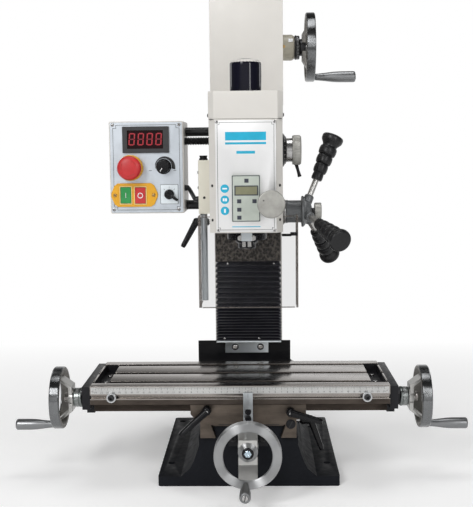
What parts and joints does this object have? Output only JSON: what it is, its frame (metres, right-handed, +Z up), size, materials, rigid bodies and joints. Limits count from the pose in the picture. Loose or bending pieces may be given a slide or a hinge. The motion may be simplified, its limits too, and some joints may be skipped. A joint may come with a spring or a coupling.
{
  "type": "vertical milling machine",
  "caption": "Bench-top vertical milling machine: cast base and column, T-slotted table on a cross slide, handwheel feeds, geared head with quill, drop-down guard and control box.",
  "frame": {"origin": "centre of the base casting's underside, on the surface that the machine stands on", "axes": "+Z up, +X along the table to the operator's right, -Y towards the operator"},
  "size_m": [0.7848, 0.5214, 0.844],
  "materials": {
    "cream_paint": "satin enamel",
    "charcoal_paint": "satin enamel",
    "machined_iron": "machined, oiled",
    "ground_steel": "ground",
    "polished_steel": "polished",
    "aluminium": "brushed",
    "grey_casting": "satin grey",
    "bronze": "machined",
    "black_steel": "black oxide",
    "black_plastic": "satin",
    "rubber": "matt",
    "clear_guard": "clear polycarbonate",
    "read_out_plastic": "satin",
    "red_plastic": "gloss",
    "green_plastic": "gloss"
  },
  "bodies": {
    "root": {"base_casting": "charcoal_paint", "column": "cream_paint", "bellows_bracket": "aluminium", "y_bearing_bracket": "black_steel", "bellows": "rubber", "chip_flap": "rubber"},
    "y_screw": {"y_leadscrew": "ground_steel", "y_handwheel": "polished_steel"},
    "y_dial": {"y_dial": "black_steel"},
    "y_grip": {"y_grip": "aluminium"},
    "saddle": {"saddle": "machined_iron", "saddle_pointer": "aluminium", "feed_nuts": "bronze"},
    "x_lock_left": {"x_lock_lever_left": "black_steel"},
    "x_lock_right": {"x_lock_lever_right": "black_steel"},
    "y_lock": {"y_lock_lever": "black_steel"},
    "table": {"table": "ground_steel", "table_end_cap_left": "black_steel", "table_end_cap_right": "black_steel"},
    "table_stop_left": {"table_stop_left": "aluminium"},
    "table_stop_right": {"table_stop_right": "aluminium"},
    "x_screw": {"x_leadscrew": "ground_steel", "x_handwheel_left": "polished_steel", "x_handwheel_right": "polished_steel"},
    "x_dial_left": {"x_dial_left": "black_steel"},
    "x_dial_right": {"x_dial_right": "black_steel"},
    "x_grip_left": {"x_grip_left": "aluminium"},
    "x_grip_right": {"x_grip_right": "aluminium"},
    "z_wheel": {"z_handwheel": "polished_steel"},
    "z_dial": {"z_dial": "black_steel"},
    "z_grip": {"z_grip": "aluminium"},
    "z_screw": {"z_leadscrew": "ground_steel"},
    "head": {"z_slide": "grey_casting", "head_casting": "cream_paint", "head_top_cover": "cream_paint", "head_front_plate": "aluminium", "quill_read_out": "read_out_plastic", "way_cover": "cream_paint", "motor": "black_steel", "guard_block": "cream_paint", "control_box": "cream_paint", "control_arms": "black_steel", "wiring_conduit": "black_plastic", "guard_cable": "rubber"},
    "quill": {"quill": "black_steel"},
    "spindle": {"spindle": "polished_steel"},
    "feed_hub": {"feed_hub": "grey_casting", "feed_grip_1": "rubber", "feed_grip_2": "rubber", "feed_grip_3": "rubber"},
    "feed_clutch": {"feed_clutch_knob": "grey_casting"},
    "fine_feed": {"fine_feed_knob": "grey_casting"},
    "gear_selector": {"gear_selector": "grey_casting"},
    "head_lock": {"head_lock_lever": "black_plastic"},
    "guard": {"chuck_guard": "clear_guard"},
    "emergency_stop": {"emergency_stop": "red_plastic"},
    "start_button": {"start_button": "green_plastic"},
    "stop_button": {"stop_button": "red_plastic"},
    "speed_knob": {"speed_knob": "black_plastic"},
    "direction_switch": {"direction_switch": "black_plastic"}
  },
  "joints": [
    {"name": "y_wheel_turn", "type": "hinge", "parent": "root", "child": "y_screw", "pos_m": [0, -0.244, 0.09], "axis": [0, 1, 0], "range_deg": [-10360, 7480]},
    {"name": "y_dial_turn", "type": "hinge", "parent": "y_screw", "child": "y_dial", "pos_m": [0, -0.244, 0.09], "axis": [0, 1, 0], "continuous": true},
    {"name": "y_grip_turn", "type": "hinge", "parent": "y_screw", "child": "y_grip", "pos_m": [-0.004, -0.3, 0.044], "axis": [0, 1, 0], "continuous": true},
    {"name": "saddle_travel", "type": "slide", "parent": "root", "child": "saddle", "axis": [0, 1, 0], "range_m": [-0.072, 0.052], "deforming": ["chip_flap"]},
    {"name": "x_lock_left_turn", "type": "hinge", "parent": "saddle", "child": "x_lock_left", "pos_m": [-0.069, -0.195, 0.138], "axis": [0, 1, 0], "range_deg": [-8, 45]},
    {"name": "x_lock_right_turn", "type": "hinge", "parent": "saddle", "child": "x_lock_right", "pos_m": [0.071, -0.195, 0.135], "axis": [0, 1, 0], "range_deg": [-20, 35]},
    {"name": "y_lock_turn", "type": "hinge", "parent": "saddle", "child": "y_lock", "pos_m": [0.097, -0.13, 0.103], "axis": [1, 0, 0], "range_deg": [-45, 45]},
    {"name": "table_travel", "type": "slide", "parent": "saddle", "child": "table", "axis": [1, 0, 0], "range_m": [-0.126, 0.154]},
    {"name": "stop_left_slide", "type": "slide", "parent": "table", "child": "table_stop_left", "axis": [1, 0, 0], "range_m": [-0.01, 0.05]},
    {"name": "stop_right_slide", "type": "slide", "parent": "table", "child": "table_stop_right", "axis": [1, 0, 0], "range_m": [-0.05, 0.01]},
    {"name": "x_wheel_turn", "type": "hinge", "parent": "table", "child": "x_screw", "pos_m": [0, -0.125, 0.143], "axis": [1, 0, 0], "range_deg": [-18140, 22170]},
    {"name": "x_dial_left_turn", "type": "hinge", "parent": "x_screw", "child": "x_dial_left", "pos_m": [0, -0.125, 0.143], "axis": [1, 0, 0], "continuous": true},
    {"name": "x_dial_right_turn", "type": "hinge", "parent": "x_screw", "child": "x_dial_right", "pos_m": [0, -0.125, 0.143], "axis": [1, 0, 0], "continuous": true},
    {"name": "x_grip_left_turn", "type": "hinge", "parent": "x_screw", "child": "x_grip_left", "pos_m": [-0.36, -0.133, 0.097], "axis": [1, 0, 0], "continuous": true},
    {"name": "x_grip_right_turn", "type": "hinge", "parent": "x_screw", "child": "x_grip_right", "pos_m": [0.332, -0.133, 0.097], "axis": [1, 0, 0], "continuous": true},
    {"name": "z_wheel_turn", "type": "hinge", "parent": "root", "child": "z_wheel", "pos_m": [0.101, 0.105, 0.763], "axis": [1, 0, 0], "range_deg": [-16120, 24185]},
    {"name": "z_dial_turn", "type": "hinge", "parent": "z_wheel", "child": "z_dial", "pos_m": [0.101, 0.105, 0.763], "axis": [1, 0, 0], "continuous": true},
    {"name": "z_grip_turn", "type": "hinge", "parent": "z_wheel", "child": "z_grip", "pos_m": [0.16, 0.105, 0.707], "axis": [1, 0, 0], "continuous": true},
    {"name": "z_screw_turn", "type": "hinge", "parent": "root", "child": "z_screw", "pos_m": [0, 0.105, 0.4], "axis": [0, 0, 1], "range_deg": [-16130, 24195]},
    {"name": "head_travel", "type": "slide", "parent": "root", "child": "head", "axis": [0, 0, 1], "range_m": [-0.112, 0.168], "deforming": ["bellows"]},
    {"name": "feed_handle_turn", "type": "hinge", "parent": "head", "child": "feed_hub", "pos_m": [0.08, -0.09, 0.4625], "axis": [1, 0, 0], "range_deg": [0, 286]},
    {"name": "feed_clutch_turn", "type": "hinge", "parent": "feed_hub", "child": "feed_clutch", "pos_m": [0.12, -0.09, 0.4625], "axis": [1, 0, 0], "range_deg": [0, 90]},
    {"name": "quill_travel", "type": "slide", "parent": "head", "child": "quill", "axis": [0, 0, -1], "range_m": [0, 0.05]},
    {"name": "spindle_turn", "type": "hinge", "parent": "quill", "child": "spindle", "pos_m": [0, -0.13, 0.45], "axis": [0, 0, 1], "continuous": true},
    {"name": "fine_feed_turn", "type": "hinge", "parent": "head", "child": "fine_feed", "pos_m": [0.04, -0.24, 0.4845], "axis": [0, 1, 0], "continuous": true},
    {"name": "gear_selector_turn", "type": "hinge", "parent": "head", "child": "gear_selector", "pos_m": [0.08, -0.13, 0.5685], "axis": [1, 0, 0], "range_deg": [-60, 60]},
    {"name": "head_lock_turn", "type": "hinge", "parent": "head", "child": "head_lock", "pos_m": [-0.08, -0.03, 0.441], "axis": [1, 0, 0], "range_deg": [-60, 30]},
    {"name": "guard_swing", "type": "hinge", "parent": "head", "child": "guard", "pos_m": [-0.0735, -0.11, 0.38], "axis": [0, 0, 1], "range_deg": [-100, 0]},
    {"name": "emergency_stop_push", "type": "slide", "parent": "head", "child": "emergency_stop", "axis": [0, 1, 0], "range_m": [0, 0.005], "stiffness_N_per_m": 800},
    {"name": "start_button_push", "type": "slide", "parent": "head", "child": "start_button", "axis": [0, 1, 0], "range_m": [0, 0.003], "stiffness_N_per_m": 500},
    {"name": "stop_button_push", "type": "slide", "parent": "head", "child": "stop_button", "axis": [0, 1, 0], "range_m": [0, 0.003], "stiffness_N_per_m": 500},
    {"name": "speed_knob_turn", "type": "hinge", "parent": "head", "child": "speed_knob", "pos_m": [-0.1455, -0.08, 0.5423], "axis": [0, 1, 0], "range_deg": [-140, 140]},
    {"name": "direction_switch_turn", "type": "hinge", "parent": "head", "child": "direction_switch", "pos_m": [-0.1365, -0.08, 0.4935], "axis": [0, 1, 0], "range_deg": [-45, 45]}
  ],
  "couplings": [
    {"joint": "y_wheel_turn", "follows": "saddle_travel", "rad_per_m": 2513.3},
    {"joint": "x_wheel_turn", "follows": "table_travel", "rad_per_m": 2513.3},
    {"joint": "z_wheel_turn", "follows": "head_travel", "rad_per_m": 2513.3},
    {"joint": "z_screw_turn", "follows": "head_travel", "rad_per_m": 2513.3},
    {"joint": "quill_travel", "follows": "feed_handle_turn", "m_per_rad": 0.01}
  ]
}
